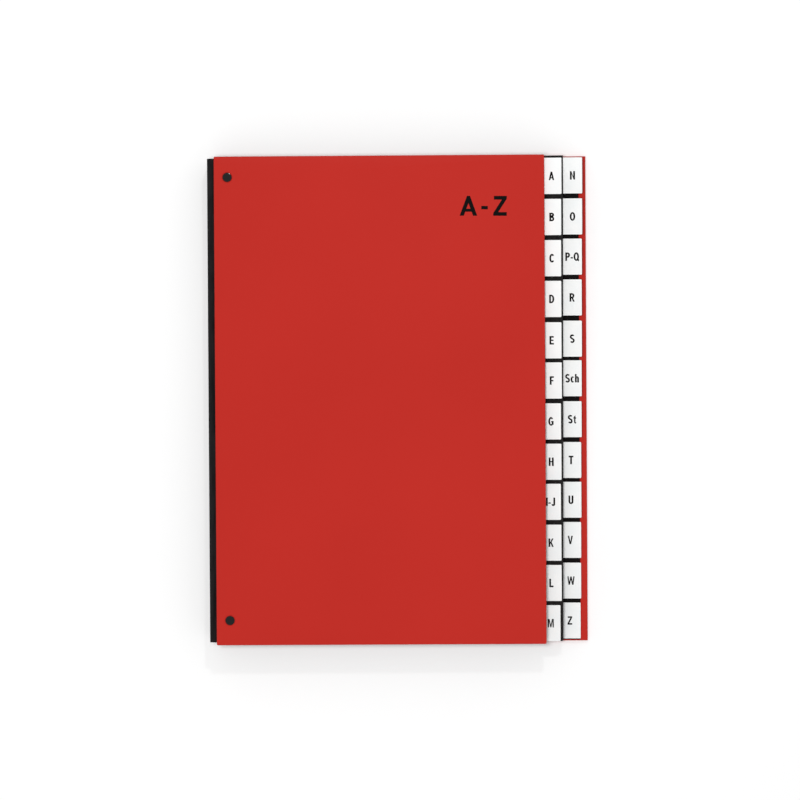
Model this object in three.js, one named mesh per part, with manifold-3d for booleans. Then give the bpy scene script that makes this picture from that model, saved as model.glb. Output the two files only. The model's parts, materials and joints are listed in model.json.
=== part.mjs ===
// Alphabetical desk sorter: two laminated board covers, 24 black card dividers
// with white index tabs in two columns, and a black cloth spine folded like a
// bellows, so that the pockets between the dividers can open wide.
//
// Millimetres, +Z up. The sorter lies closed on its back cover, with +Y towards
// the head of the pages and +X towards the tabs. The origin is under the middle
// of the whole sorter, at the height of the lowest rivet head.

import * as THREE from 'three';
import { mergeVertices } from 'three/addons/utils/BufferGeometryUtils.js';
import Module from 'manifold-3d';

const wasm = await Module();
wasm.setup();

// Covers

const coverHeight = 340;
const backCoverWidth = 259;
const frontCoverWidth = 229.5; // narrower, so that both tab columns show
const boardThickness = 2.2;
const boardCornerRadius = 1.2;
const boardEdgeRound = 0.4; // the covering paper turned over the edge

const liningThickness = 0.3;
const liningMargin = 4.9; // red turn-in left bare around the lining
const liningButtGap = 0.3; // between the lining and the hinge cloth

// Dividers and their tabs

const dividerThickness = 0.5;
const dividerPitch = 1.05; // from one divider to the next in the closed sorter
const dividerShortfall = 1; // below the cover's edge, at head and foot
const coverRoom = 1.35; // from a cover's inner face to the nearest divider

const tabRows = 12;
const tabWidth = 13.2;
const tabGap = 3.1; // between two tabs of a column
const tabHeadMargin = 1.7; // from the divider's head to the first tab
const tabFootMargin = 0.2;
const secondColumnRise = 1.25; // its tabs sit a little higher than the first column's
const tabCornerRadius = 0.4;
const tabReach = 11.1; // of the first column, past the front cover
const columnGap = 1.8; // from the first column's tabs to the second's

const labelFilm = 0.12; // printed film folded round the tab

// Cloth spine

const clothThickness = 0.2;
const spineReach = 5; // of the folds, past the covers' edges
const gussetDepth = 7.5; // from the outer folds to the inner ones
const flangeWidth = 18; // of the hinge cloth on a cover
const hingeOffset = 2.8; // from a cover's edge to the crease it turns on
const creaseGap = 0.15; // from the crease to the cloth that turns on it
const creaseDrop = 0.25; // from the crease down to the spine's own cloth

// Rivets

const rivetInset = 9.3; // from the cover's spine edge
const rivetHeadInset = 14.5; // from the cover's head
const rivetFootInset = 17.3;
const rivetHeadRadius = 3.2;
const rivetDome = 0.5; // above the board's face
const rivetRim = 0.12;
const rivetSeatDepth = 0.4; // the head is drawn into the board
const rivetSeatClearance = 0.15;
const rivetShankRadius = 1.6;
const rivetHoleClearance = 0.1;
const rivetFlangeRadius = 2.9;
const rivetFlangeThickness = 0.5;

const glueGap = 0.04; // between any two pieces that are stuck or pressed together

const roundSegments = 24;
const domeSegments = 5;
const edgeSegments = 2;
const cornerSegments = 3;
const foldSegments = 4;

// The index letters of the two columns, from head to foot

const firstColumn = ['a', 'b', 'c', 'd', 'e', 'f', 'g', 'h', 'ij', 'k', 'l', 'm'];
const secondColumn = ['n', 'o', 'pq', 'r', 's', 'sch', 'st', 't', 'u', 'v', 'w', 'z'];
const indexNames = [...firstColumn, ...secondColumn];

// Places that follow from the sizes

const spineLeft = -(spineReach + backCoverWidth) / 2;
const coverLeft = spineLeft + spineReach;
const frontCoverRight = coverLeft + frontCoverWidth;

const firstTabRight = frontCoverRight + tabReach;
const firstDividerRight = firstTabRight - tabWidth;
const secondDividerRight = firstTabRight + columnGap;

const dividerHeight = coverHeight - 2 * dividerShortfall;
const tabSpan = dividerHeight - tabHeadMargin - tabFootMargin;
const tabHeight = (tabSpan - (tabRows - 1) * tabGap) / tabRows;
const tabPitch = tabHeight + tabGap;
const firstTabY = dividerHeight / 2 - tabHeadMargin - tabHeight / 2;

const backBoardTop = rivetDome + boardThickness;
const lastDividerZ = backBoardTop + coverRoom + dividerThickness / 2;
const firstDividerZ = lastDividerZ + (indexNames.length - 1) * dividerPitch;
const frontBoardBottom = firstDividerZ + dividerThickness / 2 + coverRoom;

const foldOuterHalf = dividerThickness / 2 + glueGap + clothThickness;
const foldInnerHalf = dividerThickness / 2 + glueGap;
const dividerLeft = spineLeft + foldOuterHalf;
const gussetFold = spineLeft + gussetDepth;
const creaseX = coverLeft - hingeOffset;
const creaseDepth = glueGap + clothThickness / 2; // from a cover's inner face
const flangeRight = coverLeft + flangeWidth;

const rivetX = coverLeft + rivetInset;
const upperRivetY = coverHeight / 2 - rivetHeadInset;
const lowerRivetY = -coverHeight / 2 + rivetFootInset;
const rivetHoleRadius = rivetShankRadius + rivetHoleClearance;

// Colours

const redBoard = new THREE.MeshStandardMaterial({ color: 0xc1322a, roughness: 0.45, metalness: 0 });
const blackCard = new THREE.MeshStandardMaterial({ color: 0x161515, roughness: 0.85, metalness: 0 });
const blackPaper = new THREE.MeshStandardMaterial({ color: 0x1b1a1a, roughness: 0.9, metalness: 0 });
const blackCloth = new THREE.MeshStandardMaterial({ color: 0x101111, roughness: 0.95, metalness: 0 });
const whiteFilm = new THREE.MeshStandardMaterial({ color: 0xfafaf8, roughness: 0.3, metalness: 0 });
const blackPlastic = new THREE.MeshStandardMaterial({ color: 0x0e0e0f, roughness: 0.3, metalness: 0 });

// Solids

function solidOf(geometry) {
	const bare = geometry.index ? geometry.toNonIndexed() : geometry.clone();
	bare.deleteAttribute('normal');
	bare.deleteAttribute('uv');
	const merged = mergeVertices(bare, 1e-4);
	const mesh = new wasm.Mesh({
		numProp: 3,
		vertProperties: new Float32Array(merged.attributes.position.array),
		triVerts: new Uint32Array(merged.index.array),
	});
	return new wasm.Manifold(mesh);
}

function geometryOf(solid) {
	const mesh = solid.getMesh();
	const geometry = new THREE.BufferGeometry();
	geometry.setAttribute('position', new THREE.BufferAttribute(mesh.vertProperties, 3));
	geometry.setIndex(new THREE.BufferAttribute(mesh.triVerts, 1));
	geometry.computeVertexNormals();
	return geometry;
}

function rod(radius, bottom, top, x, y) {
	const geometry = new THREE.CylinderGeometry(radius, radius, top - bottom, roundSegments);
	geometry.rotateX(Math.PI / 2);
	geometry.translate(x, y, (bottom + top) / 2);
	return geometry;
}

function named(name, geometry, material) {
	const mesh = new THREE.Mesh(geometry, material);
	mesh.name = name;
	return mesh;
}

// A rectangle from left to right and from -height/2 to height/2, with rounded corners
function roundedRectangle(left, right, height, radius) {
	const top = height / 2;
	const shape = new THREE.Shape();
	shape.moveTo(left + radius, -top);
	shape.lineTo(right - radius, -top);
	shape.absarc(right - radius, -top + radius, radius, -Math.PI / 2, 0, false);
	shape.absarc(right - radius, top - radius, radius, 0, Math.PI / 2, false);
	shape.absarc(left + radius, top - radius, radius, Math.PI / 2, Math.PI, false);
	shape.absarc(left + radius, -top + radius, radius, Math.PI, 1.5 * Math.PI, false);
	return shape;
}

// A cover's board, outer face up: its z runs from 0 at the inner face to its
// thickness, and two seated holes take the rivets.
function coverBoard(width) {
	const inset = boardEdgeRound;
	const outline = roundedRectangle(
		coverLeft + inset,
		coverLeft + width - inset,
		coverHeight - 2 * inset,
		boardCornerRadius - inset
	);
	const board = new THREE.ExtrudeGeometry(outline, {
		depth: boardThickness - 2 * boardEdgeRound,
		bevelEnabled: true,
		bevelThickness: boardEdgeRound,
		bevelSize: boardEdgeRound,
		bevelSegments: edgeSegments,
		curveSegments: cornerSegments,
	});
	board.translate(0, 0, boardEdgeRound);

	const seatFloor = boardThickness - rivetSeatDepth;
	const seatRadius = rivetHeadRadius + rivetSeatClearance;
	const overrun = 1; // the cutters run out past the board's faces
	let solid = solidOf(board);
	for (const y of [upperRivetY, lowerRivetY]) {
		solid = solid.subtract(solidOf(rod(rivetHoleRadius, -overrun, boardThickness + overrun, rivetX, y)));
		solid = solid.subtract(solidOf(rod(seatRadius, seatFloor, boardThickness + overrun, rivetX, y)));
	}
	return geometryOf(solid);
}

// The sheet pasted inside a cover, beside the hinge cloth
function liningSheet(width) {
	const left = flangeRight + liningButtGap;
	const right = coverLeft + width - liningMargin;
	const height = coverHeight - 2 * liningMargin;
	const outline = new THREE.Shape();
	outline.moveTo(left, -height / 2);
	outline.lineTo(right, -height / 2);
	outline.lineTo(right, height / 2);
	outline.lineTo(left, height / 2);
	return new THREE.ExtrudeGeometry(outline, { depth: liningThickness, bevelEnabled: false });
}

// The cloth glued inside a cover, from the crease to its flange's edge
function hingeCloth() {
	const left = creaseX + creaseGap;
	const outline = new THREE.Shape();
	outline.moveTo(left, -dividerHeight / 2);
	outline.lineTo(flangeRight, -dividerHeight / 2);
	outline.lineTo(flangeRight, dividerHeight / 2);
	outline.lineTo(left, dividerHeight / 2);
	for (const y of [upperRivetY, lowerRivetY]) {
		const hole = new THREE.Path();
		hole.absarc(rivetX, y, rivetHoleRadius, 0, 2 * Math.PI, true);
		outline.holes.push(hole);
	}
	return new THREE.ExtrudeGeometry(outline, {
		depth: clothThickness,
		bevelEnabled: false,
		curveSegments: roundSegments / 2,
	});
}

// One rivet, turned about its own axis. Its heights are measured from the
// cover's inner face, outwards.
function rivet() {
	const flangeTop = -clothThickness - 2 * glueGap;
	const flangeBottom = flangeTop - rivetFlangeThickness;
	const headBottom = boardThickness - rivetSeatDepth + glueGap;
	const rimTop = boardThickness + rivetRim;
	const profile = [
		new THREE.Vector2(0, flangeBottom),
		new THREE.Vector2(rivetFlangeRadius, flangeBottom),
		new THREE.Vector2(rivetFlangeRadius, flangeTop),
		new THREE.Vector2(rivetShankRadius, flangeTop),
		new THREE.Vector2(rivetShankRadius, headBottom),
		new THREE.Vector2(rivetHeadRadius, headBottom),
	];
	for (let i = 0; i <= domeSegments; i++) {
		const turn = (i / domeSegments) * Math.PI / 2;
		const radius = i < domeSegments ? rivetHeadRadius * Math.cos(turn) : 0;
		profile.push(new THREE.Vector2(radius, rimTop + (rivetDome - rivetRim) * Math.sin(turn)));
	}
	return new THREE.LatheGeometry(profile, roundSegments);
}

// A divider's card: a rectangle with one tab at its fore edge
function dividerCard(right, tabY) {
	const top = dividerHeight / 2;
	const tabTop = tabY + tabHeight / 2;
	const tabBottom = tabY - tabHeight / 2;
	const tabRight = right + tabWidth;
	const r = tabCornerRadius;
	const outline = new THREE.Shape();
	outline.moveTo(dividerLeft, -top);
	outline.lineTo(right, -top);
	outline.lineTo(right, tabBottom);
	outline.lineTo(tabRight - r, tabBottom);
	outline.absarc(tabRight - r, tabBottom + r, r, -Math.PI / 2, 0, false);
	outline.absarc(tabRight - r, tabTop - r, r, 0, Math.PI / 2, false);
	outline.lineTo(right, tabTop);
	outline.lineTo(right, top);
	outline.lineTo(dividerLeft, top);
	const card = new THREE.ExtrudeGeometry(outline, {
		depth: dividerThickness,
		bevelEnabled: false,
		curveSegments: cornerSegments,
	});
	card.translate(0, 0, -dividerThickness / 2);
	return card;
}

// The white film round a tab, with x from the tab's root and y from its middle
function tabLabel() {
	const slotHalf = dividerThickness / 2 + glueGap;
	const slotRight = tabWidth + glueGap;
	const outerRight = slotRight + labelFilm;
	const outerHalf = slotHalf + labelFilm;
	const r = tabCornerRadius + glueGap + labelFilm;
	const left = glueGap;
	const half = tabHeight / 2;
	const outline = new THREE.Shape();
	outline.moveTo(left, -half);
	outline.lineTo(outerRight - r, -half);
	outline.absarc(outerRight - r, -half + r, r, -Math.PI / 2, 0, false);
	outline.absarc(outerRight - r, half - r, r, 0, Math.PI / 2, false);
	outline.lineTo(left, half);
	const outer = new THREE.ExtrudeGeometry(outline, {
		depth: 2 * outerHalf,
		bevelEnabled: false,
		curveSegments: cornerSegments,
	});
	outer.translate(0, 0, -outerHalf);
	const slot = new THREE.BoxGeometry(2 * slotRight, 2 * tabHeight, 2 * slotHalf);
	return geometryOf(solidOf(outer).subtract(solidOf(slot)));
}

// The bellows: one strip of cloth, in section. It starts just under the front
// cover's crease, turns round the spine edge of every divider with a fold
// inwards between each two, and ends just over the back cover's crease.
function spineBellows() {
	const outer = [];
	const inner = [];
	const foldCentre = spineLeft + foldOuterHalf;
	const frontEnd = frontBoardBottom - creaseDepth - creaseDrop;
	const backEnd = backBoardTop + creaseDepth + creaseDrop;

	const turnRound = (points, z, radius) => {
		for (let i = 0; i <= 2 * foldSegments; i++) {
			const angle = (1 + i / foldSegments) * Math.PI / 2;
			points.push(new THREE.Vector2(foldCentre + radius * Math.cos(angle), z + radius * Math.sin(angle)));
		}
	};

	outer.push(new THREE.Vector2(creaseX, frontEnd));
	inner.push(new THREE.Vector2(creaseX, frontEnd - clothThickness));
	for (let i = 0; i < indexNames.length; i++) {
		const z = firstDividerZ - i * dividerPitch;
		if (i > 0) {
			outer.push(new THREE.Vector2(gussetFold - clothThickness, z + foldOuterHalf));
			inner.push(new THREE.Vector2(gussetFold, z + foldInnerHalf));
		}
		turnRound(outer, z, foldOuterHalf);
		turnRound(inner, z, foldInnerHalf);
		if (i < indexNames.length - 1) {
			outer.push(new THREE.Vector2(gussetFold - clothThickness, z - foldOuterHalf));
			inner.push(new THREE.Vector2(gussetFold, z - foldInnerHalf));
		}
	}
	outer.push(new THREE.Vector2(creaseX, backEnd));
	inner.push(new THREE.Vector2(creaseX, backEnd + clothThickness));

	const section = new THREE.Shape([...outer, ...inner.reverse()]);
	const bellows = new THREE.ExtrudeGeometry(section, { depth: dividerHeight, bevelEnabled: false });
	bellows.rotateX(Math.PI / 2);
	bellows.translate(0, dividerHeight / 2, 0);
	return bellows;
}

// A cover with its lining, hinge cloth and two rivets, inner face down at z = 0
function coverAssembly(side, width) {
	const group = new THREE.Group();
	group.add(named(`${side}_cover`, coverBoard(width), redBoard));

	const lining = named(`${side}_lining`, liningSheet(width), blackPaper);
	lining.position.z = -glueGap - liningThickness;
	group.add(lining);

	const cloth = named(`${side}_hinge_cloth`, hingeCloth(), blackCloth);
	cloth.position.z = -glueGap - clothThickness;
	group.add(cloth);

	for (const [place, y] of [['upper', upperRivetY], ['lower', lowerRivetY]]) {
		const pin = named(`${side}_rivet_${place}`, rivet(), blackPlastic);
		pin.position.set(rivetX, y, 0);
		pin.rotation.x = Math.PI / 2;
		group.add(pin);
	}
	return group;
}

// The back cover is the front one's mirror image, seen from inside the sorter,
// so each piece is mirrored by reversing its height.
function mirrored(group) {
	for (const mesh of group.children) {
		mesh.updateMatrix();
		mesh.geometry.applyMatrix4(mesh.matrix);
		mesh.position.set(0, 0, 0);
		mesh.rotation.set(0, 0, 0);
		mesh.scale.z = -1;
	}
	return group;
}

// Dividers and labels, from the front of the sorter to its back
function dividerBlock() {
	const block = new THREE.Group();
	block.add(named('spine_bellows', spineBellows(), blackCloth));
	indexNames.forEach((index, i) => {
		const inFirst = i < tabRows;
		const right = inFirst ? firstDividerRight : secondDividerRight;
		const columnY = inFirst ? firstTabY : firstTabY + secondColumnRise;
		const tabY = columnY - (i % tabRows) * tabPitch;
		const z = firstDividerZ - i * dividerPitch;

		const card = named(`divider_${index}`, dividerCard(right, tabY), blackCard);
		card.position.z = z;
		block.add(card);

		const label = named(`label_${index}`, tabLabel(), whiteFilm);
		label.position.set(right, tabY, z);
		block.add(label);
	});
	return block;
}

const frontCover = coverAssembly('front', frontCoverWidth);
frontCover.position.z = frontBoardBottom;

const backCover = mirrored(coverAssembly('back', backCoverWidth));
backCover.position.z = backBoardTop;

const sorter = new THREE.Group();
sorter.add(backCover, dividerBlock(), frontCover);

export default sorter;
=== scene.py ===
# The looks of an alphabetical desk sorter: laminated board covers on a black cloth
# spine folded like a bellows, and black card dividers with lettered white tabs.

import json
import math
import random

import bpy
from mathutils import Matrix, Vector, noise


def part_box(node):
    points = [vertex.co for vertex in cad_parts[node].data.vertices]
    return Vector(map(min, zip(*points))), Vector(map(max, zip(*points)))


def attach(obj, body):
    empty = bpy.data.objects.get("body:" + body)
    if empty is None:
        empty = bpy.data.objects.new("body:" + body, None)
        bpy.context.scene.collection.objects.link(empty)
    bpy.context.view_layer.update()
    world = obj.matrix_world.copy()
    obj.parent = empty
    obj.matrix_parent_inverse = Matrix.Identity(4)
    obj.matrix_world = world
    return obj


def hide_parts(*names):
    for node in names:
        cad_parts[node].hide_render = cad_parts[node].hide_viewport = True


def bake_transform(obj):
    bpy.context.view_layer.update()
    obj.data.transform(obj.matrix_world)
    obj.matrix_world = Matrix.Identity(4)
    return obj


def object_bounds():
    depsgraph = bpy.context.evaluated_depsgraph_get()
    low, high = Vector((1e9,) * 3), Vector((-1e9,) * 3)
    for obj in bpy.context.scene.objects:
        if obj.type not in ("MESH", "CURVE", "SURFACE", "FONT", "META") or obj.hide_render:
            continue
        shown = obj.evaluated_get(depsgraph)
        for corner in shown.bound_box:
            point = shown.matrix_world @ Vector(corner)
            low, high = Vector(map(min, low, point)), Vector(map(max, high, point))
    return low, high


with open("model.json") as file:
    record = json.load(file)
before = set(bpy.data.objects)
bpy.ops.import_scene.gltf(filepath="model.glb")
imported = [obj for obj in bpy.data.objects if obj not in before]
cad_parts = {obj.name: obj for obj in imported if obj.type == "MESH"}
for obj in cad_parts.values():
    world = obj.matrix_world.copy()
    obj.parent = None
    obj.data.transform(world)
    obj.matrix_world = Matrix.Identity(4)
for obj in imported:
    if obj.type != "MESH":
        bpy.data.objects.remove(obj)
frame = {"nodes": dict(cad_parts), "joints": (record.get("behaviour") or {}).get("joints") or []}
cadLow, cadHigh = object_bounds()
mm = 0.001
close = 0.01 * mm  # two places nearer than this are taken as one
hair = 0.001 * mm  # keeps two rings of a turned piece apart

firstColumn = ["a", "b", "c", "d", "e", "f", "g", "h", "ij", "k", "l", "m"]
secondColumn = ["n", "o", "pq", "r", "s", "sch", "st", "t", "u", "v", "w", "z"]
indexNames = firstColumn + secondColumn
printedIndex = {"ij": "I-J", "pq": "P-Q", "sch": "Sch", "st": "St"}


# Small helpers

def screenColour(red, green, blue):  # 0 to 255 as on screen, to the values that shaders take
    shares = [value / 255 for value in (red, green, blue)]
    return tuple(s / 12.92 if s <= 0.04045 else ((s + 0.055) / 1.055) ** 2.4 for s in shares)


def deselectAll():
    if bpy.context.object and bpy.context.object.mode != "OBJECT":
        bpy.ops.object.mode_set(mode="OBJECT")
    bpy.ops.object.select_all(action="DESELECT")


def makeActive(piece):
    deselectAll()
    piece.select_set(True)
    bpy.context.view_layer.objects.active = piece


def pick(piece, kind, test):  # selects the faces, edges or vertices that pass the test, in edit mode
    bpy.ops.object.mode_set(mode="EDIT")
    bpy.ops.mesh.select_mode(type=kind)
    bpy.ops.mesh.select_all(action="DESELECT")
    bpy.ops.object.mode_set(mode="OBJECT")
    mesh = piece.data
    parts = {"FACE": mesh.polygons, "EDGE": mesh.edges, "VERT": mesh.vertices}[kind]
    for part in parts:
        part.select = bool(test(part))
    bpy.ops.object.mode_set(mode="EDIT")


def edgeEnds(piece, edge):
    return [piece.data.vertices[i].co for i in edge.vertices]


def faceOutwards(piece):
    makeActive(piece)
    bpy.ops.object.mode_set(mode="EDIT")
    bpy.ops.mesh.select_all(action="SELECT")
    bpy.ops.mesh.normals_make_consistent(inside=False)
    bpy.ops.object.mode_set(mode="OBJECT")


def addBlock(name, low, high):
    deselectAll()
    bpy.ops.mesh.primitive_cube_add(size=1, location=(low + high) / 2)
    block = bpy.context.object
    block.name = name
    block.scale = high - low
    bpy.ops.object.transform_apply(location=True, rotation=True, scale=True)
    return block


def applyModifier(piece, kind, **settings):
    makeActive(piece)
    modifier = piece.modifiers.new(kind.title(), kind)
    for setting, value in settings.items():
        setattr(modifier, setting, value)
    bpy.ops.object.modifier_apply(modifier=modifier.name)


def turnedPiece(name, centre, profile, segments=48):  # profile: radius and height of each ring
    deselectAll()
    radius, height = profile[0]
    bpy.ops.mesh.primitive_circle_add(
        vertices=segments, radius=radius, fill_type="NGON", location=centre + Vector((0, 0, height)))
    piece = bpy.context.object
    piece.name = name
    bpy.ops.object.transform_apply(location=True, rotation=True, scale=True)
    bpy.ops.object.mode_set(mode="EDIT")
    bpy.ops.mesh.select_all(action="SELECT")
    for (lastRadius, lastHeight), (radius, height) in zip(profile, profile[1:]):
        bpy.ops.mesh.extrude_region_move(TRANSFORM_OT_translate={"value": (0, 0, height - lastHeight)})
        ratio = radius / lastRadius
        bpy.ops.transform.resize(value=(ratio, ratio, 1), center_override=(centre.x, centre.y, 0))
    faceOutwards(piece)
    return piece


def cutAway(piece, cutter):
    applyModifier(piece, "BOOLEAN", operation="DIFFERENCE", solver="EXACT", object=cutter)
    bpy.data.objects.remove(cutter, do_unlink=True)


def smooth(piece, degrees=35):
    makeActive(piece)
    bpy.ops.object.shade_smooth_by_angle(angle=math.radians(degrees))


def softenEdges(piece, width, segments, degrees):
    sharpest = {"limit_method": "ANGLE", "angle_limit": math.radians(degrees)}
    applyModifier(piece, "BEVEL", width=width, segments=segments, **sharpest)


def dress(piece, material):
    piece.data.materials.clear()
    piece.data.materials.append(material)


def settle(piece, body, slotName, *nodes):  # the last step of most new pieces
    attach(piece, body)
    if nodes:
        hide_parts(*nodes)


# Camera, straight above the sorter

camera = {
    "aboveCover": 2.45,
    "overX": 45.6 * mm,
    "overY": 38.1 * mm,
    "turn": (-0.893, 1.025, -0.337),  # degrees
    "lens": 158.73,
    "sensor": 36,
    "clipEnd": 20,
}


def addCamera():
    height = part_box("front_cover")[1].z + camera["aboveCover"]
    turn = [math.radians(degrees) for degrees in camera["turn"]]
    bpy.ops.object.camera_add(location=(camera["overX"], camera["overY"], height), rotation=turn)
    cam = bpy.context.object
    cam.data.sensor_width = camera["sensor"]
    cam.data.lens = camera["lens"]
    cam.data.clip_end = camera["clipEnd"]
    bpy.context.scene.camera = cam
    print("camera placed")


# Studio: a white floor, a soft key lamp nearly overhead and a weak one from the head

studio = {
    "worldLevel": 0.46,
    "keyPower": 30.5,
    "keySize": 0.4,
    "keyFrom": Vector((-0.15, 0.05, 2.4)),
    "fillPower": 2.6,
    "fillSize": 0.1,
    "fillFrom": Vector((0.19, 0.95, 1.6)),
    "shownWhite": 1.0,  # what the camera sees of world and floor
    "floorSize": 8,
    "floorColour": 0.8,
    "floorFade": (0.3, 0.8),  # metres from the middle
    "floorGap": 0.05 * mm,
}


def addLamp(name, place, size, power):
    bpy.ops.object.light_add(type="AREA", location=place)
    lamp = bpy.context.object
    lamp.name = name
    lamp.data.shape = "DISK"
    lamp.data.size = size
    lamp.data.energy = power
    lamp.rotation_euler = (-place).to_track_quat("-Z", "Y").to_euler()
    return lamp


def mathNode(tree, operation, first, second):
    made = tree.nodes.new("ShaderNodeMath")
    made.operation = operation
    tree.links.new(first, made.inputs[0])
    tree.links.new(second, made.inputs[1])
    return made.outputs[0]


def whiteForCamera(tree, ownValue):
    # gives ownValue to the light, and white to what the camera, gloss and glass see
    path = tree.nodes.new("ShaderNodeLightPath")
    seen = path.outputs["Is Camera Ray"]
    for ray in ("Is Transmission Ray", "Is Glossy Ray"):
        seen = mathNode(tree, "MAXIMUM", seen, path.outputs[ray])
    blend = tree.nodes.new("ShaderNodeMix")
    blend.data_type = "FLOAT"
    blend.inputs["A"].default_value = ownValue
    blend.inputs["B"].default_value = studio["shownWhite"]
    tree.links.new(seen, blend.inputs["Factor"])
    return blend.outputs["Result"]


def whiteFarAway(tree, shader):
    # towards its far parts, where the lamps fade, the floor shows plain white to the camera
    place = tree.nodes.new("ShaderNodeTexCoord")
    reach = tree.nodes.new("ShaderNodeVectorMath")
    reach.operation = "LENGTH"
    tree.links.new(place.outputs["Object"], reach.inputs[0])
    fade = tree.nodes.new("ShaderNodeMapRange")
    fade.inputs["From Min"].default_value, fade.inputs["From Max"].default_value = studio["floorFade"]
    tree.links.new(reach.outputs["Value"], fade.inputs["Value"])
    path = tree.nodes.new("ShaderNodeLightPath")
    shown = mathNode(tree, "MULTIPLY", fade.outputs["Result"], path.outputs["Is Camera Ray"])
    white = tree.nodes.new("ShaderNodeEmission")
    both = tree.nodes.new("ShaderNodeMixShader")
    tree.links.new(shown, both.inputs[0])
    tree.links.new(shader.outputs[0], both.inputs[1])
    tree.links.new(white.outputs[0], both.inputs[2])
    tree.links.new(both.outputs[0], tree.nodes["Material Output"].inputs["Surface"])


def addStudio():
    scene = bpy.context.scene
    scene.view_settings.view_transform = "Standard"
    world = bpy.data.worlds.new("paleStudio")
    scene.world = world
    world.use_nodes = True
    tree = world.node_tree
    sky = tree.nodes["Background"]
    sky.inputs["Color"].default_value = (1, 1, 1, 1)
    tree.links.new(whiteForCamera(tree, studio["worldLevel"]), sky.inputs["Strength"])

    key = addLamp("keyLamp", studio["keyFrom"], studio["keySize"], studio["keyPower"])
    key.visible_glossy = False  # it would show as a haze on the laminate
    addLamp("fillLamp", studio["fillFrom"], studio["fillSize"], studio["fillPower"])

    deselectAll()
    floorZ = cadLow.z - studio["floorGap"]
    bpy.ops.mesh.primitive_plane_add(size=studio["floorSize"], location=(0, 0, floorZ))
    floor = bpy.context.object
    floor.name = "floor"
    material = bpy.data.materials.new("whiteFloor")
    material.use_nodes = True
    tree = material.node_tree
    shader = tree.nodes["Principled BSDF"]
    shader.inputs["Roughness"].default_value = 1.0
    shader.inputs["Specular IOR Level"].default_value = 0.0
    grey = tree.nodes.new("ShaderNodeCombineColor")
    level = whiteForCamera(tree, studio["floorColour"])
    for channel in ("Red", "Green", "Blue"):
        tree.links.new(level, grey.inputs[channel])
    tree.links.new(grey.outputs["Color"], shader.inputs["Base Color"])
    whiteFarAway(tree, shader)
    dress(floor, material)
    print("studio ready")


# Materials. Patterns lie on Object coordinates in metres, so a scale of 1000 is 1 mm.

# Colours are 0 to 255 as on screen. Shades are the two between which the pattern runs,
# and gloss is the range of the roughness where that is uneven.
looks = {
    "redLaminate": {
        "colour": (185, 38, 29), "shades": ((183, 37, 28), (187, 39, 30)),
        "roughness": 0.4, "gloss": (0.36, 0.48), "specular": 0.2,
    },
    "blackCard": {
        "colour": (32, 30, 30), "shades": ((26, 24, 24), (40, 38, 38)),
        "roughness": 0.8, "specular": 0.12,
    },
    "blackLining": {
        "colour": (20, 18, 18), "shades": ((17, 15, 15), (26, 24, 24)),
        "roughness": 0.86, "specular": 0.1,
    },
    "bookCloth": {
        "colour": (24, 22, 23), "shades": ((14, 12, 13), (31, 28, 29)),
        "roughness": 0.85, "specular": 0.1, "sheen": 0.05, "sheenRoughness": 0.6,
        "threadPitch": 0.42 * mm, "threadDepth": 0.07 * mm,
    },
    "whiteLabelFilm": {
        "colour": (246, 247, 246), "shades": ((244, 246, 246), (249, 249, 248)),
        "roughness": 0.35, "specular": 0.3,
    },
    "blackInk": {"colour": (6, 4, 4), "roughness": 0.5, "specular": 0.08},
    "blackRivetPlastic": {
        "colour": (6, 5, 5), "roughness": 0.13, "gloss": (0.1, 0.16), "specular": 0.25,
    },
}
shadeEnds = (0.3, 0.7)  # where on the pattern the two shades are full


def newMaterial(name, look):
    material = bpy.data.materials.new(name)
    material.use_nodes = True
    shader = material.node_tree.nodes["Principled BSDF"]
    shader.inputs["Base Color"].default_value = (*screenColour(*look["colour"]), 1)
    shader.inputs["Roughness"].default_value = look["roughness"]
    shader.inputs["Specular IOR Level"].default_value = look["specular"]
    return material


def addNode(material, kind, **inputs):
    made = material.node_tree.nodes.new(kind)
    for name, value in inputs.items():
        made.inputs[name].default_value = value
    return made


def patternPlace(material, stretch=(1, 1, 1), coordinates="Object"):
    place = addNode(material, "ShaderNodeTexCoord")
    mapping = addNode(material, "ShaderNodeMapping", Scale=stretch)
    material.node_tree.links.new(place.outputs[coordinates], mapping.inputs["Vector"])
    return mapping.outputs["Vector"]


def speckle(material, scale, detail, stretch=(1, 1, 1)):
    grain = addNode(material, "ShaderNodeTexNoise", Scale=scale, Detail=detail)
    material.node_tree.links.new(patternPlace(material, stretch), grain.inputs["Vector"])
    return grain.outputs["Fac"]


def colourBetween(material, factor, shades):
    tree = material.node_tree
    ramp = tree.nodes.new("ShaderNodeValToRGB")
    for i in (0, 1):
        ramp.color_ramp.elements[i].position = shadeEnds[i]
        ramp.color_ramp.elements[i].color = (*screenColour(*shades[i]), 1)
    tree.links.new(factor, ramp.inputs["Fac"])
    tree.links.new(ramp.outputs["Color"], tree.nodes["Principled BSDF"].inputs["Base Color"])


def roughnessBetween(material, factor, smoothest, roughest):
    tree = material.node_tree
    spread = addNode(material, "ShaderNodeMapRange")
    spread.inputs["To Min"].default_value = smoothest
    spread.inputs["To Max"].default_value = roughest
    tree.links.new(factor, spread.inputs["Value"])
    tree.links.new(spread.outputs["Result"], tree.nodes["Principled BSDF"].inputs["Roughness"])


def addRelief(material, heights):  # heights: (pattern, depth in metres), laid one on another
    tree = material.node_tree
    normal = None
    for pattern, depth in heights:
        bump = addNode(material, "ShaderNodeBump", Strength=1.0, Distance=depth)
        tree.links.new(pattern, bump.inputs["Height"])
        if normal:
            tree.links.new(normal, bump.inputs["Normal"])
        normal = bump.outputs["Normal"]
    tree.links.new(normal, tree.nodes["Principled BSDF"].inputs["Normal"])


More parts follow.
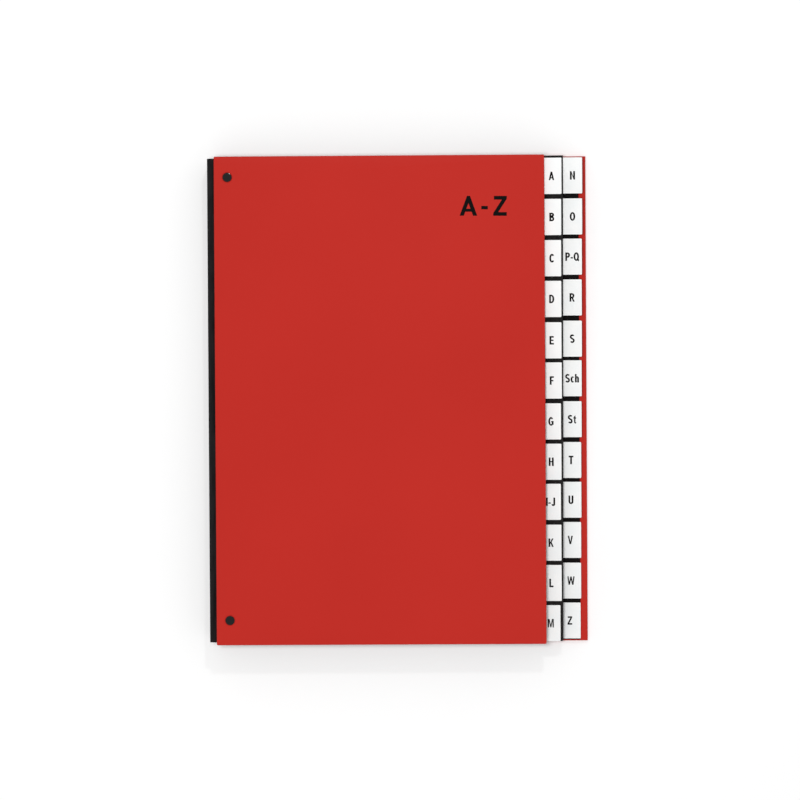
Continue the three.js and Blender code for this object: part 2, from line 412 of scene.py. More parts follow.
def redLaminate():
    look = looks["redLaminate"]
    material = newMaterial("redLaminate", look)
    colourBetween(material, speckle(material, scale=9, detail=2), look["shades"])
    roughnessBetween(material, speckle(material, scale=260, detail=4), *look["gloss"])
    sag = speckle(material, scale=45, detail=2)
    grain = speckle(material, scale=1500, detail=4)
    addRelief(material, [(sag, 0.25 * mm), (grain, 0.018 * mm)])
    return material


def blackCard():
    look = looks["blackCard"]
    material = newMaterial("blackCard", look)
    fibres = speckle(material, scale=900, detail=4, stretch=(1, 0.25, 1))
    colourBetween(material, fibres, look["shades"])
    grain = speckle(material, scale=2600, detail=3)
    addRelief(material, [(fibres, 0.03 * mm), (grain, 0.02 * mm)])
    return material


def blackLining():
    look = looks["blackLining"]
    material = newMaterial("blackLining", look)
    fibres = speckle(material, scale=1300, detail=5, stretch=(0.3, 1, 1))
    colourBetween(material, fibres, look["shades"])
    cockle = speckle(material, scale=70, detail=2)
    addRelief(material, [(fibres, 0.025 * mm), (cockle, 0.2 * mm)])
    return material


def bookCloth(name, sectionLength, clothHeight):
    # a plain weave on the strip's own UV map: u runs across the folds and v along them
    look = looks["bookCloth"]
    material = newMaterial(name, look)
    tree = material.node_tree
    across = sectionLength / look["threadPitch"]
    along = clothHeight / look["threadPitch"]
    threads = []
    for direction, stretch in (("X", (across, along / 2, 1)), ("Y", (across / 2, along, 1))):
        wave = addNode(material, "ShaderNodeTexWave", Scale=0.5, Distortion=0.6, Detail=1.0)
        wave.bands_direction = direction
        tree.links.new(patternPlace(material, stretch, "UV"), wave.inputs["Vector"])
        threads.append(wave.outputs["Fac"])
    slub = speckle(material, scale=420, detail=3, stretch=(1, 0.15, 1))
    colourBetween(material, slub, look["shades"])
    crossing = mathNode(tree, "MAXIMUM", *threads)
    addRelief(material, [(slub, 0.05 * mm), (crossing, look["threadDepth"])])
    shader = tree.nodes["Principled BSDF"]
    shader.inputs["Sheen Weight"].default_value = look["sheen"]
    shader.inputs["Sheen Roughness"].default_value = look["sheenRoughness"]
    return material


def whiteLabelFilm():
    look = looks["whiteLabelFilm"]
    material = newMaterial("whiteLabelFilm", look)
    colourBetween(material, speckle(material, scale=120, detail=2), look["shades"])
    cockle = speckle(material, scale=160, detail=2)
    grain = speckle(material, scale=2200, detail=2)
    addRelief(material, [(cockle, 0.05 * mm), (grain, 0.004 * mm)])
    return material


def blackInk():
    material = newMaterial("blackInk", looks["blackInk"])
    addRelief(material, [(speckle(material, scale=3000, detail=2), 0.006 * mm)])
    return material


def blackRivetPlastic():
    look = looks["blackRivetPlastic"]
    material = newMaterial("blackRivetPlastic", look)
    roughnessBetween(material, speckle(material, scale=900, detail=3), *look["gloss"])
    addRelief(material, [(speckle(material, scale=700, detail=2), 0.003 * mm)])
    return material


# Cover boards: paper-wrapped edges, rounded corners, and a pressed seat round each rivet

board = {
    "cornerRadius": 1.3 * mm,
    "cornerSteps": 6,
    "edgeRound": 0.55 * mm,
    "edgeSteps": 4,
    "seatDepth": 0.4 * mm,
    "seatFloorRadius": 3.32 * mm,
    "seatRimRadius": 3.75 * mm,
    "seatOverrun": 0.4 * mm,  # how far its cutter stands out of the board
    "holeRadius": 1.7 * mm,
    "holeReach": 4 * mm,  # more than the board's thickness
    "turnIn": 15 * mm,  # red paper folded over the inner face
    "turnInThickness": 0.1 * mm,
    "mitreGap": 0.12 * mm,
    "rimBand": 2 * mm,  # edges of the outer face this near its border are its rim
}


def rivetPlaces(side):
    places = []
    for place in ("upper", "lower"):
        low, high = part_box(f"{side}_rivet_{place}")
        places.append((low + high) / 2)
    return places


def addCover(side, material):
    node = f"{side}_cover"
    low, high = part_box(node)
    outward = 1 if side == "front" else -1
    outerFace = high.z if side == "front" else low.z
    innerFace = low.z if side == "front" else high.z
    cover = addBlock(f"{side}CoverBoard", low, high)

    # the wrap's turn-in: a frame on the inner face, parted at the mitred corners
    pick(cover, "FACE", lambda face: face.normal.z * outward < -0.9)
    bpy.ops.mesh.inset(thickness=board["turnIn"], use_even_offset=True)
    bpy.ops.transform.translate(value=(0, 0, outward * board["turnInThickness"]))
    bpy.ops.object.mode_set(mode="OBJECT")

    def isMitre(edge):
        a, b = edgeEnds(cover, edge)
        level = min(abs(a.z - innerFace), abs(b.z - innerFace)) < close
        return level and abs(a.x - b.x) > mm and abs(a.y - b.y) > mm

    pick(cover, "EDGE", isMitre)
    bpy.ops.mesh.bevel(offset=board["mitreGap"], segments=2, affect="EDGES")
    bpy.ops.object.mode_set(mode="OBJECT")

    # the four corners seen from above, then the wrapped edges
    def isUpright(edge):
        a, b = edgeEnds(cover, edge)
        return abs(a.z - b.z) > 0.8 * (high.z - low.z)

    pick(cover, "EDGE", isUpright)
    bpy.ops.mesh.bevel(offset=board["cornerRadius"], segments=board["cornerSteps"], affect="EDGES")
    bpy.ops.object.mode_set(mode="OBJECT")

    def isOuterRim(edge):
        a, b = edgeEnds(cover, edge)
        middle = (a + b) / 2
        flat = max(abs(a.z - outerFace), abs(b.z - outerFace)) < close
        insideX = low.x + board["rimBand"] < middle.x < high.x - board["rimBand"]
        insideY = low.y + board["rimBand"] < middle.y < high.y - board["rimBand"]
        return flat and not (insideX and insideY)

    pick(cover, "EDGE", isOuterRim)
    bpy.ops.mesh.bevel(offset=board["edgeRound"], segments=board["edgeSteps"], affect="EDGES")
    bpy.ops.object.mode_set(mode="OBJECT")

    overrun = board["seatOverrun"]
    flare = (board["seatRimRadius"] - board["seatFloorRadius"]) / board["seatDepth"]
    profile = [
        (board["holeRadius"], -board["holeReach"]),
        (board["holeRadius"], -board["seatDepth"]),
        (board["seatFloorRadius"], -board["seatDepth"] + hair),
        (board["seatRimRadius"] + flare * overrun, overrun),
    ]
    for place in rivetPlaces(side):
        centre = Vector((place.x, place.y, outerFace))
        cutter = turnedPiece("seatCutter", centre, [(r, outward * h) for r, h in profile])
        cutAway(cover, cutter)
    smooth(cover, 40)
    dress(cover, material)
    settle(cover, f"{side}_cover", "cover_board", node)


# Rivets: a low dome over a thin rim, a shank and an inner flange

rivet = {
    "headRadius": 3.2 * mm,
    "rim": 0.06 * mm,
    "dome": 0.44 * mm,
    "domeSteps": 9,
    "shankRadius": 1.6 * mm,
    "flangeRadius": 2.9 * mm,
    "flange": 0.5 * mm,
    "edgeRound": 0.08 * mm,
    "seatGap": 0.04 * mm,  # between the head's underside and its seat
    "tipRadius": 0.05 * mm,  # the small flat that closes the dome
    "segments": 40,
}


def addRivet(side, place, material):
    node = f"{side}_rivet_{place}"
    low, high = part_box(node)
    outward = 1 if side == "front" else -1
    boardLow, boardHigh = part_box(f"{side}_cover")
    outerFace = boardHigh.z if side == "front" else boardLow.z
    flangeEnd = low.z if side == "front" else high.z
    centre = Vector(((low.x + high.x) / 2, (low.y + high.y) / 2, outerFace))
    depth = abs(flangeEnd - outerFace)
    headUnder = -(board["seatDepth"] - rivet["seatGap"])
    r = rivet["edgeRound"]
    profile = [
        (rivet["flangeRadius"] - r, -depth),
        (rivet["flangeRadius"], -depth + r),
        (rivet["flangeRadius"], -depth + rivet["flange"]),
        (rivet["shankRadius"], -depth + rivet["flange"] + hair),
        (rivet["shankRadius"], headUnder),
        (rivet["headRadius"] - r, headUnder + hair),
        (rivet["headRadius"], headUnder + r),
    ]
    for i in range(rivet["domeSteps"]):
        share = 1 - i / rivet["domeSteps"]
        profile.append((rivet["headRadius"] * share, rivet["rim"] + rivet["dome"] * (1 - share ** 2)))
    profile.append((rivet["tipRadius"], rivet["rim"] + rivet["dome"]))
    rings = [(radius, outward * height) for radius, height in profile]
    pin = turnedPiece(f"{side}Rivet{place.title()}", centre, rings, rivet["segments"])
    smooth(pin, 50)
    dress(pin, material)
    settle(pin, f"{side}_cover", "rivet_plastic", node)


# Cloth: the bellows and the two hinge strips, each a grid laid along its section

cloth = {
    "thickness": 0.2 * mm,
    "glueGap": 0.04 * mm,
    "arcSteps": 10,
    "stepsAlong": 48,
    "ridgeWander": 0.16 * mm,
    "ridgeWave": 0.1 * mm,
    "ridgeWaveScale": 22,
    "ridgeSeed": 7,
    "towardsHead": 0.3 * mm,  # how far the block and its cloth lie out of line at the spine
    "endSetBack": 0.6 * mm,  # how far their ends stand back at the spine
}
hinge = {
    "liningGap": 0.02 * mm,
    "flangeSteps": 8,
    "bendSteps": 14,
    "stepsAlong": 24,
    "bendStart": 1.2 * mm,  # from the crease towards the flange
    "lastTurn": (0.12 * mm, 0.01 * mm),  # past the fold's top: out from the spine and inwards
    "blendReach": 0.9 * mm,  # from the crease, where the cloth starts to bend with the cover
}


def dividerHeights():
    heights = []
    for index in indexNames:
        low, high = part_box(f"divider_{index}")
        heights.append((low.z + high.z) / 2)
    return heights


def foldSizes():
    # the fold's centre line: its centre's x, its radius, and the x of the inner folds
    low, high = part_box("divider_a")
    spineLow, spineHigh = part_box("spine_bellows")
    half = (high.z - low.z) / 2 + cloth["glueGap"]
    centreX = spineLow.x + half + cloth["thickness"]
    return centreX, half + cloth["thickness"] / 2, spineHigh.x - cloth["thickness"] / 2


def sectionLength(points):
    return sum((b - a).length for a, b in zip(points, points[1:]))


def layCloth(name, points, stepsAlong, wander=None):
    # a grid of the section's points by steps along Y, with u and v of its UV map from 0 to 1
    low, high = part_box("spine_bellows")
    deselectAll()
    bpy.ops.mesh.primitive_grid_add(x_subdivisions=len(points) - 1, y_subdivisions=stepsAlong, size=2)
    strip = bpy.context.object
    strip.name = name
    for vertex in strip.data.vertices:
        i = round((vertex.co.x + 1) / 2 * (len(points) - 1))
        share = (vertex.co.y + 1) / 2
        y = (low.y + share * (high.y - low.y)) * (1 - cloth["endSetBack"] / high.y)
        y += cloth["towardsHead"]
        place = Vector((points[i].x, y, points[i].y))
        if wander:
            place += wander(i, y)
        vertex.co = place
    applyModifier(strip, "SOLIDIFY", thickness=cloth["thickness"], offset=0, use_even_offset=True)
    faceOutwards(strip)
    smooth(strip, 60)
    return strip


def addBellows():
    centreX, radius, innerX = foldSizes()
    heights = dividerHeights()
    points = []
    ridgeOf = []
    for k, z in enumerate(heights):
        if k > 0:
            points += [Vector((innerX, z + radius)), Vector(((innerX + centreX) / 2, z + radius))]
        for i in range(cloth["arcSteps"] + 1):
            angle = math.pi / 2 + math.pi * i / cloth["arcSteps"]
            points.append(Vector((centreX + radius * math.cos(angle), z + radius * math.sin(angle))))
        if k < len(heights) - 1:
            points += [Vector(((innerX + centreX) / 2, z - radius)), Vector((innerX, z - radius))]
        ridgeOf += [k] * (len(points) - len(ridgeOf))

    draw = random.Random(cloth["ridgeSeed"])
    offsets = [draw.uniform(0, 1) * cloth["ridgeWander"] for _ in heights]

    def wander(i, y):
        k = ridgeOf[i]
        nearRidge = max(0.0, min(1.0, (innerX - points[i].x) / (innerX - centreX)))
        rise = noise.noise(Vector((y * cloth["ridgeWaveScale"], k * 3.1, 0.4)))
        wave = cloth["ridgeWave"] * (0.5 + 0.5 * rise)
        return Vector(((offsets[k] + wave) * nearRidge, 0, 0))

    bellows = layCloth("spineBellows", points, cloth["stepsAlong"], wander)
    low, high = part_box("spine_bellows")
    dress(bellows, bookCloth("bellowsCloth", sectionLength(points), high.y - low.y))
    settle(bellows, "block", "spine_cloth", "spine_bellows")
    print("bellows folded:", len(points), "points in section")


def addHingeCloth(side):
    # from the flange inside the cover, over the crease, to the nearest outer fold
    centreX, radius = foldSizes()[:2]
    heights = dividerHeights()
    foldZ = heights[0] if side == "front" else heights[-1]
    outward = 1 if side == "front" else -1
    low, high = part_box(f"{side}_hinge_cloth")
    hingeZ = (low.z + high.z) / 2
    joint = next(j for j in frame["joints"] if j["name"] == f"{side}_cover_hinge")
    creaseX = joint["pos_m"][0]

    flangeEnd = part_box(f"{side}_lining")[0].x - hinge["liningGap"]
    crease = Vector((creaseX, hingeZ))
    foldTop = Vector((centreX, foldZ + outward * radius))
    start = Vector((creaseX + hinge["bendStart"], hingeZ))
    points = []
    for i in range(hinge["flangeSteps"]):
        points.append(Vector((flangeEnd + (start.x - flangeEnd) * i / hinge["flangeSteps"], hingeZ)))
    for i in range(hinge["bendSteps"] + 1):
        t = i / hinge["bendSteps"]  # a smooth bend from the flange down to the fold
        points.append(start * (1 - t) ** 2 + crease * 2 * t * (1 - t) + foldTop * t * t)
    outOfSpine, inwards = hinge["lastTurn"]
    points.append(foldTop + Vector((-outOfSpine, -outward * inwards)))
    strip = layCloth(f"{side}HingeCloth", points, hinge["stepsAlong"])
    boxLow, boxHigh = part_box("spine_bellows")
    dress(strip, bookCloth(f"{side}HingeClothWeave", sectionLength(points), boxHigh.y - boxLow.y))
    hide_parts(f"{side}_hinge_cloth")
    if side == "front":
        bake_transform(strip)
    else:
        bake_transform(strip)


# Dividers: card leaves with one tab, each a little out of line and out of flat

leaf = {
    "tabCornerRadius": 0.4 * mm,
    "cornerSteps": 4,
    "edgeBevel": 0.05 * mm,
    "labelBevel": 0.035 * mm,
    "labelMerge": 0.002 * mm,  # points of the frame's solid this near are one
    "headRise": 1.0 * mm,  # how far the second column's leaves stand out at the head
    "footSetBack": 1.4 * mm,  # how far their cards stand back at the foot, beside the tabs
    "lastTabFoot": 0.7 * mm,  # the last tab's card shows below its label
    "blockWave": 0.12 * mm,  # a wave that all leaves share
    "blockWaveScale": (6, 7),
    "ownWave": 0.07 * mm,  # and each leaf's own
    "ownWaveScale": (9, 11),
    "waveGrowth": 1.5,  # power by which the waves grow towards the fore edge
    "cutsAcross": 6,
    "cutsAlong": 11,
    "cutClearance": 4 * mm,  # no cut this near the tab's ends
}
leafSlips = {  # how far each fore edge lies out of line, in mm to the right and towards the head
    "a": (0.8, 0.55), "b": (0.5, 0.3), "c": (0.35, -0.07), "d": (0.35, -0.15), "e": (0.35, -0.72),
    "f": (0.45, -0.41), "g": (-0.25, -0.7), "h": (-0.05, -0.62), "ij": (-0.55, -0.36),
    "k": (-0.3, -0.73), "l": (-0.25, -0.68), "m": (-1.25, -0.6), "n": (0.55, 0.09), "o": (0.45, -0.25),
    "pq": (0.15, -0.02), "r": (-0.05, -0.25), "s": (-0.08, -0.84), "sch": (-0.32, -0.26),
    "st": (-0.47, -0.7), "t": (-0.85, -1.07), "u": (-0.85, -0.72), "v": (-1.12, -0.73),
    "w": (-1.25, -1.1), "z": (-1.7, -0.95),
}
printSlips = {  # how far a print lies off its usual place on the label, in mm to the right
    "a": 0.3, "b": 0.7, "c": 0.75, "d": 0.55, "e": 0.4, "f": 0.3, "g": 0.2, "h": 0.1, "m": 0.4,
    "t": -0.4, "u": -0.6, "v": -0.9, "w": -0.4, "z": -0.9,
}


def leafLift(k, x, y):
    # how far a point of divider k lies out of flat: nothing at the spine, most at the fore edge
    low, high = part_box("divider_z")
    out = max(0.0, (x - low.x) / (high.x - low.x)) ** leaf["waveGrowth"]
    wholeX, wholeY = leaf["blockWaveScale"]
    ownX, ownY = leaf["ownWaveScale"]
    whole = noise.noise(Vector((x * wholeX, y * wholeY, 3.3))) * leaf["blockWave"]
    own = noise.noise(Vector((x * ownX, y * ownY, 10 + k * 1.7))) * leaf["ownWave"]
    return (whole + own) * out


def bend(piece, k, slipX, slipY):
    low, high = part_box("divider_z")
    for vertex in piece.data.vertices:
        x, y = vertex.co.x, vertex.co.y
        out = max(0.0, min(1.0, (x - low.x) / (high.x - low.x)))
        vertex.co.z += leafLift(k, x, y)
        vertex.co.x += slipX * out
        spineSlip = cloth["towardsHead"] - cloth["endSetBack"] * y / high.y
        vertex.co.y += slipY * out + spineSlip * (1 - out)


def addDivider(k, index, material, slip):
    low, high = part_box(f"divider_{index}")
    tabLow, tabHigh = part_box(f"label_{index}")
    tabFoot = tabLow.y - (leaf["lastTabFoot"] if index == indexNames[-1] else 0)
    root = tabLow.x - cloth["glueGap"]
    card = addBlock(f"divider{index.title()}", low, Vector((root, high.y, high.z)))
    cuts = [(tabFoot, (0, 1, 0)), (tabHigh.y, (0, 1, 0))]
    for i in range(1, leaf["cutsAlong"]):
        y = low.y + (high.y - low.y) * i / leaf["cutsAlong"]
        if min(abs(y - tabFoot), abs(y - tabHigh.y)) > leaf["cutClearance"]:
            cuts.append((y, (0, 1, 0)))
    for i in range(1, leaf["cutsAcross"]):
        cuts.append((low.x + (root - low.x) * i / leaf["cutsAcross"], (1, 0, 0)))
    bpy.ops.object.mode_set(mode="EDIT")
    for place, normal in cuts:
        bpy.ops.mesh.select_all(action="SELECT")
        bpy.ops.mesh.bisect(plane_co=Vector(normal) * place, plane_no=normal)
    bpy.ops.object.mode_set(mode="OBJECT")

    pick(card, "FACE", lambda f: f.normal.x > 0.9 and tabFoot < f.center.y < tabHigh.y)
    bpy.ops.mesh.extrude_region_move(TRANSFORM_OT_translate={"value": (high.x - root, 0, 0)})
    bpy.ops.object.mode_set(mode="OBJECT")

    def isTabCorner(edge):
        a, b = edgeEnds(card, edge)
        upright = abs(a.z - b.z) > (high.z - low.z) / 2
        atForeEdge = min(a.x, b.x) > high.x - close
        atTabEnd = min(abs(a.y - tabFoot), abs(a.y - tabHigh.y)) < close
        return upright and atForeEdge and atTabEnd

    pick(card, "EDGE", isTabCorner)
    bpy.ops.mesh.bevel(offset=leaf["tabCornerRadius"], segments=leaf["cornerSteps"], affect="EDGES")
    bpy.ops.object.mode_set(mode="OBJECT")
    if index in secondColumn:
        for vertex in card.data.vertices:
            if vertex.co.y > high.y - close and vertex.co.x < root + close:
                vertex.co.y += leaf["headRise"] * (vertex.co.x - low.x) / (root - low.x)
            if abs(vertex.co.x - root) < close:
                vertex.co.x -= leaf["footSetBack"] * (high.y - vertex.co.y) / (high.y - low.y)
    bend(card, k, *slip)
    softenEdges(card, leaf["edgeBevel"], 1, 60)
    smooth(card, 30)
    dress(card, material)
    settle(card, "block", "divider_card", f"divider_{index}")


def addLabel(k, index, material, slip):
    # the folded film, from the frame's own solid with its edges softened
    source = frame["nodes"][f"label_{index}"]
    deselectAll()
    film = bpy.data.objects.new(f"label{index.title()}", source.data.copy())
    bpy.context.scene.collection.objects.link(film)
    makeActive(film)
    bpy.ops.object.mode_set(mode="EDIT")
    bpy.ops.mesh.select_all(action="SELECT")
    bpy.ops.mesh.remove_doubles(threshold=leaf["labelMerge"])
    bpy.ops.object.mode_set(mode="OBJECT")
    bend(film, k, *slip)
    softenEdges(film, leaf["labelBevel"], 2, 50)
    smooth(film, 40)
    dress(film, material)
    settle(film, "block", "label_film", f"label_{index}")


# Printed letters: outlines of a narrow bold face on a unit capital height

stem, bar = 0.22, 0.185  # thickness of the upright and of the level strokes


def arc(x, y, rx, ry, start, end, steps=14):
    turns = [math.radians(start + (end - start) * i / steps) for i in range(steps + 1)]
    return [(x + rx * math.cos(t), y + ry * math.sin(t)) for t in turns]


def brushed(path, wide, high):
    # a stroke along a path, as thick as wide on its uprights and as high on its levels
    left, right = [], []
    for i, (x, y) in enumerate(path):
        ax, ay = path[max(0, i - 1)]
        bx, by = path[min(len(path) - 1, i + 1)]
        length = math.hypot(bx - ax, by - ay)
        nx, ny = (ay - by) / length, (bx - ax) / length
        left.append((x + nx * wide / 2, y + ny * high / 2))
        right.append((x - nx * wide / 2, y - ny * high / 2))
    return left + right[::-1]


def bowl(x, y, rx, ry):  # the inside of a bowl against a stem
    return [(stem, y - ry + bar), *arc(x, y, rx - stem, ry - bar, -90, 90), (stem, y + ry - bar)]


def peaked(width, foot, apex, barLow, barHigh):  # a capital A: its outline and its counter
    slope = (width - apex) / 2
    low, high = foot + slope * barLow, foot + slope * barHigh
    peak = (width / 2, (width / 2 - foot) / slope)
    outline = [
        (0, 0), (foot, 0), (low, barLow), (width - low, barLow), (width - foot, 0), (width, 0),
        ((width + apex) / 2, 1), ((width - apex) / 2, 1),
    ]
    return [outline, [(high, barHigh), peak, (width - high, barHigh)]]


def zigzag(width, across, level, notch):  # a capital Z
    return [[
        (0, 0), (width, 0), (width, level), (across, level), (width, 1 - level * notch), (width, 1),
        (0.03, 1), (0.03, 1 - level), (width - across, 1 - level), (0, level * notch),
    ]]


def rectangle(x0, y0, x1, y1):
    return [(x0, y0), (x1, y0), (x1, y1), (x0, y1)]


halfStem, halfBar = stem / 2, bar / 2
glyphs = {  # width, outlines with their counters
    "A": (0.66, peaked(0.66, 0.19, 0.2, 0.2, 0.34)),
    "B": (0.61, [
        [(0, 0), *arc(0.31, 0.28, 0.3, 0.28, -90, 68), *arc(0.3, 0.74, 0.28, 0.26, -62, 90), (0, 1)],
        bowl(0.31, 0.28, 0.3, 0.28), bowl(0.3, 0.76, 0.28, 0.24),
    ]),
    "C": (0.62, [brushed(arc(0.33, 0.5, 0.33 - halfStem, 0.51 - halfBar, 42, 318, 24), stem, bar)]),
    "D": (0.63, [
        [(0, 0), *arc(0.27, 0.5, 0.36, 0.5, -90, 90, 20), (0, 1)], bowl(0.27, 0.5, 0.36, 0.5),
    ]),
    "E": (0.54, [[
        (0, 0), (0.54, 0), (0.54, bar), (stem, bar), (stem, 0.43), (0.49, 0.43), (0.49, 0.58),
        (stem, 0.58), (stem, 1 - bar), (0.53, 1 - bar), (0.53, 1), (0, 1),
    ]]),
    "F": (0.51, [[
        (0, 0), (stem, 0), (stem, 0.4), (0.45, 0.4), (0.45, 0.55), (stem, 0.55), (stem, 1 - bar),
        (0.51, 1 - bar), (0.51, 1), (0, 1),
    ]]),
    "G": (0.66, [[
        *arc(0.34, 0.5, 0.34, 0.51, 42, 312, 24), (0.66, 0.12), (0.66, 0.54), (0.35, 0.54), (0.35, 0.4),
        (0.66 - stem, 0.4), (0.66 - stem, 0.2), *arc(0.34, 0.5, 0.34 - stem, 0.51 - bar, 292, 42, 20),
    ]]),
    "H": (0.62, [[
        (0, 0), (stem, 0), (stem, 0.43), (0.62 - stem, 0.43), (0.62 - stem, 0), (0.62, 0), (0.62, 1),
        (0.62 - stem, 1), (0.62 - stem, 0.58), (stem, 0.58), (stem, 1), (0, 1),
    ]]),
    "I": (stem, [rectangle(0, 0, stem, 1)]),
    "J": (0.48, [brushed(
        [(0.48 - halfStem, 1), (0.48 - halfStem, 0.6),
         *arc(0.24, 0.27, 0.24 - halfStem, 0.27 - halfBar, 0, -165)],
        stem, bar,
    )]),
    "K": (0.65, [[
        (0, 0), (stem, 0), (stem, 0.29), (0.26, 0.41), (0.44, 0), (0.65, 0), (0.38, 0.56), (0.63, 1),
        (0.42, 1), (stem, 0.54), (stem, 1), (0, 1),
    ]]),
    "L": (0.52, [[(0, 0), (0.52, 0), (0.52, bar), (stem, bar), (stem, 1), (0, 1)]]),
    "M": (0.76, [[
        (0, 0), (0.16, 0), (0.16, 0.72), (0.31, 0), (0.45, 0), (0.6, 0.72), (0.6, 0), (0.76, 0),
        (0.76, 1), (0.53, 1), (0.38, 0.3), (0.23, 1), (0, 1),
    ]]),
    "N": (0.63, [[
        (0, 0), (stem, 0), (stem, 0.64), (0.45, 0), (0.63, 0), (0.63, 1), (0.63 - stem, 1),
        (0.63 - stem, 0.36), (0.18, 1), (0, 1),
    ]]),
    "O": (0.68, [
        arc(0.34, 0.5, 0.34, 0.51, 0, 348, 29), arc(0.34, 0.5, 0.34 - stem, 0.51 - bar, 0, 345, 23),
    ]),
    "P": (0.59, [
        [(0, 0), (stem, 0), (stem, 0.38), *arc(0.29, 0.69, 0.3, 0.31, -90, 90), (0, 1)],
        bowl(0.29, 0.69, 0.3, 0.31),
    ]),
    "Q": (0.7, [
        [*arc(0.34, 0.5, 0.34, 0.51, -32, 296, 27), (0.6, -0.07), (0.71, 0.04)],
        arc(0.34, 0.5, 0.34 - stem, 0.51 - bar, 0, 345, 23),
    ]),
    "R": (0.64, [
        [
            (0, 0), (stem, 0), (stem, 0.4), (0.27, 0.4), (0.43, 0), (0.64, 0), (0.44, 0.43),
            *arc(0.3, 0.7, 0.3, 0.3, -58, 90), (0, 1),
        ],
        bowl(0.3, 0.7, 0.3, 0.3),
    ]),
    "S": (0.6, [brushed(
        [*arc(0.3, 0.73, 0.3 - halfStem, 0.28 - halfBar, 30, 235, 18),
         *arc(0.3, 0.28, 0.3 - halfStem, 0.29 - halfBar, 55, -152, 18)],
        stem, bar,
    )]),
    "T": (0.6, [[
        (0.3 - halfStem, 0), (0.3 + halfStem, 0), (0.3 + halfStem, 1 - bar), (0.6, 1 - bar),
        (0.6, 1), (0, 1), (0, 1 - bar), (0.3 - halfStem, 1 - bar),
    ]]),
    "U": (0.62, [brushed(
        [(halfStem, 1), (halfStem, 0.6), *arc(0.31, 0.29, 0.31 - halfStem, 0.3 - halfBar, 180, 360),
         (0.62 - halfStem, 0.6), (0.62 - halfStem, 1)],
        stem, bar,
    )]),
    "V": (0.64, [[(0.22, 0), (0.42, 0), (0.64, 1), (0.45, 1), (0.32, 0.28), (0.19, 1), (0, 1)]]),
    "W": (0.92, [[
        (0.15, 0), (0.32, 0), (0.46, 0.6), (0.6, 0), (0.77, 0), (0.92, 1), (0.75, 1), (0.67, 0.36),
        (0.54, 1), (0.38, 1), (0.25, 0.36), (0.17, 1), (0, 1),
    ]]),
    "Z": (0.58, zigzag(0.58, 0.22, bar, 0.95)),
    "c": (0.46, [brushed(arc(0.24, 0.36, 0.24 - halfStem, 0.37 - halfBar, 48, 312, 20), stem, bar)]),
    "h": (0.5, [[
        (0, 0), (stem, 0), (stem, 0.42), *arc(0.25, 0.44, 0.25 - stem, 0.15, 180, 0, 8),
        (0.5 - stem, 0), (0.5, 0), *arc(0.28, 0.46, 0.22, 0.27, 0, 118, 12), (stem, 1), (0, 1),
    ]]),
    "t": (0.36, [[
        (0.24, -0.01), (0.36, 0.01), (0.36, 0.14), (0.29, 0.14), (0.27, 0.18), (0.27, 0.58),
        (0.36, 0.58), (0.36, 0.71), (0.27, 0.71), (0.27, 0.95), (0.1, 0.86), (0.1, 0.71), (0, 0.71),
        (0, 0.58), (0.1, 0.58), (0.1, 0.16), (0.15, 0.03),
    ]]),
    "-": (0.28, [rectangle(0, 0.28, 0.28, 0.44)]),
}

letter = {
    "capHeight": 5.9 * mm,
    "narrow": 0.95,
    "spacing": 0.08,
    "inkThickness": 0.02 * mm,
    "lift": 0.012 * mm,
    "fromRoot": (6.1 * mm, 6.6 * mm),  # to the middle of the print, in the first and second column
}


def addPrint(name, outlines, scale, corner, body, slotName, material):
    # filled outlines, cut by the ones inside them, as a thin layer of ink above the printed surface
    curve = bpy.data.curves.new(name, "CURVE")
    curve.dimensions = "2D"
    curve.fill_mode = "BOTH"
    for outline in outlines:
        spline = curve.splines.new("POLY")
        spline.points.add(len(outline) - 1)
        for point, (x, y) in zip(spline.points, outline):
            point.co = (x * scale, y * scale, 0, 1)
        spline.use_cyclic_u = True
    shape = bpy.data.objects.new(name, curve)
    bpy.context.scene.collection.objects.link(shape)
    makeActive(shape)
    bpy.ops.object.convert(target="MESH")
    ink = bpy.context.object
    ink.name = name
    ink.data.transform(Matrix.Translation(corner + Vector((0, 0, letter["lift"]))))
    applyModifier(ink, "SOLIDIFY", thickness=letter["inkThickness"], offset=1)
    faceOutwards(ink)
    dress(ink, material)
    settle(ink, body, slotName)
    return ink


def addIndexLetters(k, index, material, slip):
    tabLow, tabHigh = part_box(f"label_{index}")
    words = printedIndex.get(index, index.upper())
    placed = []
    width = 0
    for sign in words:
        signWidth, outlines = glyphs[sign]
        placed += [[((x + width) * letter["narrow"], y) for x, y in outline] for outline in outlines]
        width += signWidth + letter["spacing"]
    width = (width - letter["spacing"]) * letter["narrow"]
    scale = letter["capHeight"]
    usual = letter["fromRoot"][0 if index in firstColumn else 1]
    fromRoot = usual + printSlips.get(index, 0) * mm
    middle = Vector((tabLow.x + fromRoot, (tabLow.y + tabHigh.y) / 2, tabHigh.z))
    corner = middle - Vector((width, 1, 0)) * scale / 2
    name = f"indexLetter{index.title()}"
    ink = addPrint(name, placed, scale, corner, "block", "label_film", material)
    bend(ink, k, *slip)


# The plain A - Z on the front cover, on the same unit height

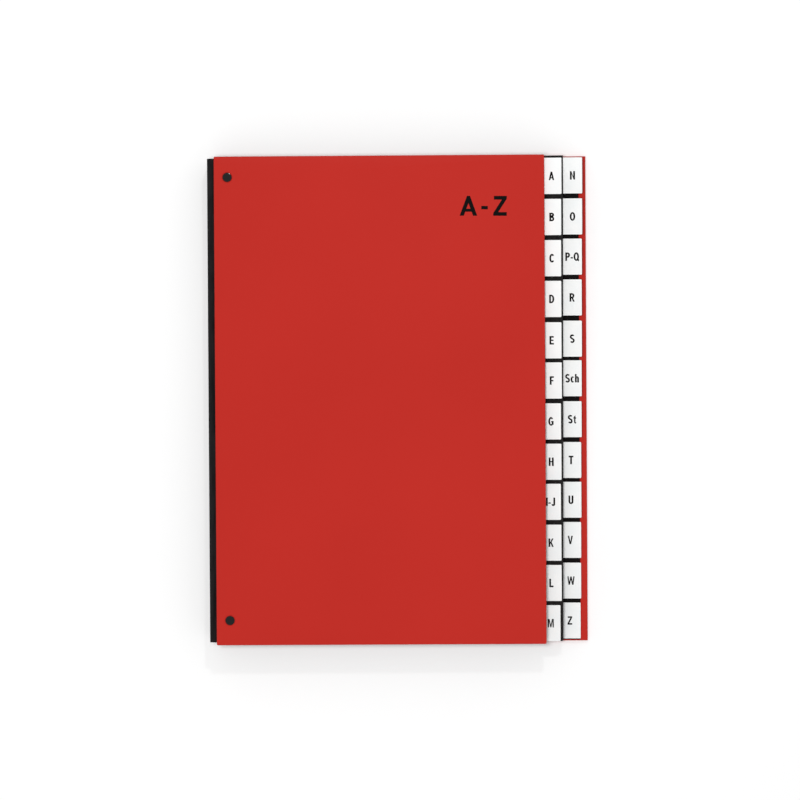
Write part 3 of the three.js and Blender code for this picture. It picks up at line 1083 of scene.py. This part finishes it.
title = {
    "capHeight": 13.75 * mm,
    "aWidth": 0.886,
    "aStrokes": (0.21, 0.15, 0.2, 0.35),  # foot, apex, the bar's lower and upper edge
    "hyphen": (0.33, 0.167, 0.325),  # width, height, lift
    "zWidth": 0.68,
    "zStrokes": (0.25, 0.185, 0.75),  # slanting, level, and how far the slant is cut in
    "aToHyphen": 0.204,
    "hyphenToZ": 0.277,
    "turn": -0.5,  # degrees
    "fromRight": 42.4 * mm,  # the word's middle, from the cover's right and top edges
    "fromTop": 35.4 * mm,
}


def addTitle(material):
    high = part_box("front_cover")[1]
    wide, tall, lift = title["hyphen"]
    hyphenX = title["aWidth"] + title["aToHyphen"]
    zX = hyphenX + wide + title["hyphenToZ"]
    scale = title["capHeight"]
    middle = Vector((high.x - title["fromRight"], high.y - title["fromTop"], high.z))
    corner = middle - Vector((zX + title["zWidth"], 1, 0)) * scale / 2
    parts = {
        "A": (0, peaked(title["aWidth"], *title["aStrokes"])),
        "Hyphen": (hyphenX, [rectangle(0, lift, wide, lift + tall)]),
        "Z": (zX, zigzag(title["zWidth"], *title["zStrokes"])),
    }
    for part, (x, outlines) in parts.items():
        place = corner + Vector((x * scale, 0, 0))
        ink = addPrint(f"title{part}", outlines, scale, place, "front_cover", "cover_board", material)
        turn = Matrix.Rotation(math.radians(title["turn"]), 4, "Z")
        ink.data.transform(Matrix.Translation(middle) @ turn @ Matrix.Translation(-middle))
    print("title printed")


# Everything in order

addCamera()
addStudio()

coverRed = redLaminate()
cardBlack = blackCard()
printBlack = blackInk()
rivetBlack = blackRivetPlastic()
labelWhite = whiteLabelFilm()
liningBlack = blackLining()

for side in ("front", "back"):
    addCover(side, coverRed)
    for place in ("upper", "lower"):
        addRivet(side, place, rivetBlack)
    addHingeCloth(side)
    dress(frame["nodes"][f"{side}_lining"], liningBlack)
print("covers ready")

addBellows()

for k, index in enumerate(indexNames):
    slip = [way * mm for way in leafSlips[index]]
    addDivider(k, index, cardBlack, slip)
    addLabel(k, index, labelWhite, slip)
    addIndexLetters(k, index, printBlack, slip)
print("dividers, labels and letters ready")

addTitle(printBlack)
